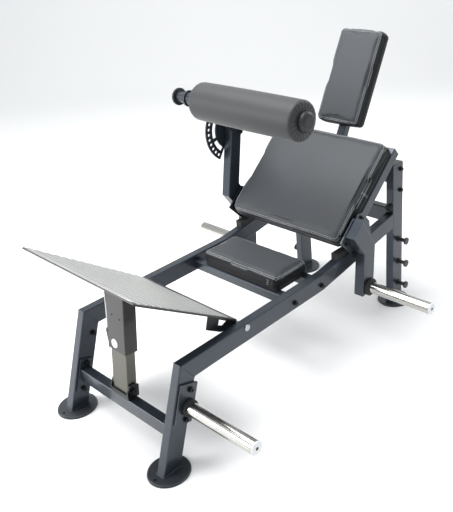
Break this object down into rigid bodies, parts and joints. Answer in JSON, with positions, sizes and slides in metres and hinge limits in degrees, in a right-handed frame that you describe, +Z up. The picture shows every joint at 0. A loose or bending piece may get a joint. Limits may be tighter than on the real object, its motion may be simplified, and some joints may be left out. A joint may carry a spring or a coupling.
{
  "type": "hip thrust machine",
  "caption": "Plate-loaded hip thrust machine with swinging back rest, head pad, tilting padded hip roller, fixed seat and ribbed footplate on an adjustable strut",
  "frame": {"origin": "on the floor under the middle of the bounding box", "axes": "+Z up, the user faces -Y, the user's left is +X"},
  "size_m": [1.397, 1.723, 1.2709],
  "materials": {
    "painted_frame": "satin metallic",
    "leatherette": "matte grained",
    "black_board": "matte",
    "black_steel": "satin",
    "black_rubber": "matte",
    "white_plastic": "satin",
    "black_plastic": "satin",
    "bright_steel": "polished",
    "brushed_steel": "brushed",
    "grey_sleeve": "satin",
    "silver_plate": "satin metallic"
  },
  "bodies": {
    "frame": {"band_pegs": "black_plastic", "foot_discs": "black_steel", "foot_plate_hinge_pins": "bright_steel", "foot_rubbers": "black_rubber", "frame_bolts": "black_steel", "front_crossbar": "painted_frame", "front_leg_left": "painted_frame", "front_leg_right": "painted_frame", "pivot_bearings": "painted_frame", "rear_bumpers": "black_rubber", "rear_crossbeam": "painted_frame", "rear_rails": "painted_frame", "rear_upright_left": "painted_frame", "rear_upright_right": "painted_frame", "seat_board": "black_board", "seat_crossmembers": "painted_frame", "seat_cushion": "leatherette", "seat_rail_left": "painted_frame", "seat_rail_right": "painted_frame", "stop_blocks": "black_rubber", "storage_collars": "black_rubber", "storage_horn": "bright_steel", "storage_horn_cap": "white_plastic", "storage_plates": "painted_frame", "strut_clevis": "black_steel"},
    "back_rest": {"pad_frame_tubes": "painted_frame", "pad_frame_crossmembers": "painted_frame", "swing_lugs": "painted_frame", "swing_shaft": "bright_steel", "gusset_plates": "painted_frame", "gusset_bolts": "black_steel", "loading_arm_left": "painted_frame", "loading_arm_right": "painted_frame", "loading_horns": "bright_steel", "loading_horn_collars": "black_rubber", "loading_horn_caps": "white_plastic", "back_board": "black_board", "back_cushion": "leatherette", "head_board": "black_board", "head_cushion": "leatherette", "head_support": "painted_frame", "roller_post": "painted_frame", "pin_quadrant": "painted_frame", "roller_arm_pivot_pin": "black_steel"},
    "roller_arm": {"roller_arm": "painted_frame", "roller_arm_cheeks": "painted_frame", "lock_pin_housing": "bright_steel", "roller_axle": "bright_steel", "roller_hub_sleeve": "painted_frame"},
    "lock_pin": {"lock_pin": "black_plastic"},
    "roller": {"roller_core": "bright_steel", "roller_cushion": "leatherette", "roller_end_cap": "black_plastic"},
    "foot_plate": {"foot_plate": "silver_plate", "foot_plate_brackets": "silver_plate"},
    "strut_inner": {"strut_inner_tube": "brushed_steel"},
    "strut_sleeve": {"strut_sleeve": "grey_sleeve", "lever_mount": "bright_steel"},
    "release_lever": {"release_lever": "bright_steel"}
  },
  "joints": [
    {"name": "back_rest_swing", "type": "hinge", "parent": "frame", "child": "back_rest", "pos_m": [0, 0.6717, 0.637], "axis": [-1, 0, 0], "range_deg": [0, 40]},
    {"name": "roller_arm_tilt", "type": "hinge", "parent": "back_rest", "child": "roller_arm", "pos_m": [-0.358, 0.2937, 0.869], "axis": [1, 0, 0], "range_deg": [0, 90]},
    {"name": "lock_pin_slide", "type": "slide", "parent": "roller_arm", "child": "lock_pin", "axis": [1, 0, 0], "range_m": [0, 0.008]},
    {"name": "roller_spin", "type": "hinge", "parent": "roller_arm", "child": "roller", "pos_m": [0, 0.0727, 1.061], "axis": [1, 0, 0], "continuous": true},
    {"name": "foot_plate_tilt", "type": "hinge", "parent": "frame", "child": "foot_plate", "pos_m": [0, -0.3603, 0.39], "axis": [1, 0, 0], "range_deg": [-8, 10]},
    {"name": "strut_tilt", "type": "hinge", "parent": "frame", "child": "strut_inner", "pos_m": [0, -0.7213, 0.208], "axis": [1, 0, 0], "range_deg": [-3.5, 4]},
    {"name": "strut_slide", "type": "slide", "parent": "strut_inner", "child": "strut_sleeve", "axis": [0, 0.1392, 0.9903], "range_m": [-0.06, 0.048]},
    {"name": "release_lever", "type": "hinge", "parent": "strut_sleeve", "child": "release_lever", "pos_m": [-0.0605, -0.70496, 0.42484], "axis": [0, -0.9903, 0.1392], "range_deg": [0, 8], "stiffness_Nm_per_rad": 2}
  ],
  "couplings": [
    {"joint": "strut_tilt", "follows": "foot_plate_tilt", "ratio": 0.3713},
    {"joint": "strut_slide", "follows": "foot_plate_tilt", "m_per_rad": -0.33411}
  ]
}
